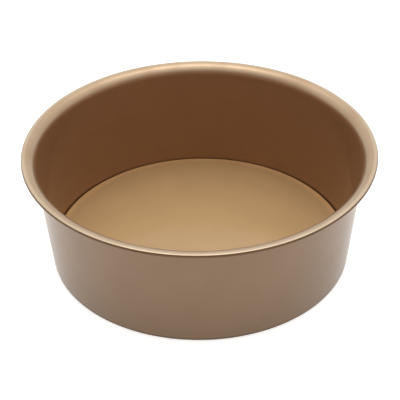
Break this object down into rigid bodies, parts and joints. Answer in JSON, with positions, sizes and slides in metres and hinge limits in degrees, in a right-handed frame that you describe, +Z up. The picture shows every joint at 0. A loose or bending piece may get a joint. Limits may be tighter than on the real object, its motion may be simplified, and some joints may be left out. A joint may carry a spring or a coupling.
{
  "type": "round cake tin",
  "caption": "Round deep cake tin with a gently tapered side, a flared and curled rim, and a loose base that pushes up and out.",
  "frame": {"origin": "centre of the foot circle, on the surface that the tin stands on", "axes": "+Z up along the tin's axis, towards the open top"},
  "size_m": [0.22, 0.2198, 0.075],
  "materials": {
    "champagne_coating": "satin"
  },
  "bodies": {
    "ring": {"side_ring": "champagne_coating"},
    "base": {"loose_base": "champagne_coating"}
  },
  "joints": [
    {"name": "base_lift", "type": "slide", "parent": "ring", "child": "base", "axis": [0, 0, 1], "range_m": [0, 0.085]}
  ]
}
